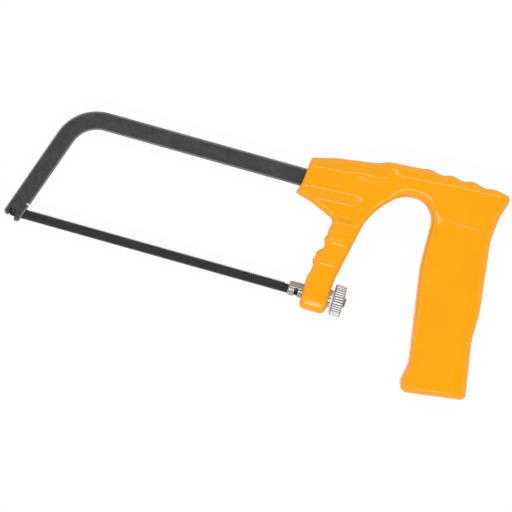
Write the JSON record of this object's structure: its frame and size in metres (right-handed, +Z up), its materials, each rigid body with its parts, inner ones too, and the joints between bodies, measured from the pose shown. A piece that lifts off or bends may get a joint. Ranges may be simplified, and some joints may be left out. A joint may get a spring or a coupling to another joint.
{
  "type": "hacksaw",
  "caption": "Small hacksaw with a flat steel bow, a pistol grip moulded in two shells, and a pinned blade tightened by a knurled knob on a threaded stud.",
  "frame": {"origin": "middle of the outline on the plane that the saw lies on, its right side down", "axes": "+X along the blade from the bow tip to the handle, +Y from the blade to the bow bar, +Z up through the left side"},
  "size_m": [0.2468, 0.1105, 0.025],
  "materials": {
    "orange_shell": "gloss",
    "black_bow": "semi-gloss",
    "dark_blade": "satin",
    "steel_pin": "satin",
    "plated_stud": "satin",
    "plated_washer": "satin",
    "plated_knob": "polished",
    "screw_steel": "satin"
  },
  "bodies": {
    "saw": {"handle_shell_left": "orange_shell", "handle_shell_right": "orange_shell", "handle_screw_1": "screw_steel", "handle_screw_2": "screw_steel", "handle_screw_3": "screw_steel", "handle_screw_4": "screw_steel", "handle_screw_5": "screw_steel", "handle_screw_6": "screw_steel", "handle_screw_7": "screw_steel", "frame_bow": "black_bow", "bow_dowel_front": "steel_pin", "bow_dowel_rear": "steel_pin", "thrust_washer": "plated_washer"},
    "knob": {"tension_knob": "plated_knob"},
    "stud": {"tension_stud": "plated_stud", "stud_key_pin": "steel_pin"},
    "blade": {"saw_blade": "dark_blade", "blade_pin_front": "steel_pin", "blade_pin_rear": "steel_pin"}
  },
  "joints": [
    {"name": "knob_spin", "type": "hinge", "parent": "saw", "child": "knob", "pos_m": [0.04932, -0.02055, 0.0125], "axis": [1, 0, 0], "range_deg": [0, 540]},
    {"name": "stud_slide", "type": "slide", "parent": "saw", "child": "stud", "axis": [-1, 0, 0], "range_m": [0, 0.0012]},
    {"name": "blade_unhook", "type": "slide", "parent": "stud", "child": "blade", "axis": [0, -1, 0], "range_m": [0, 0.012]}
  ],
  "couplings": [
    {"joint": "knob_spin", "follows": "stud_slide", "rad_per_m": 7854}
  ]
}
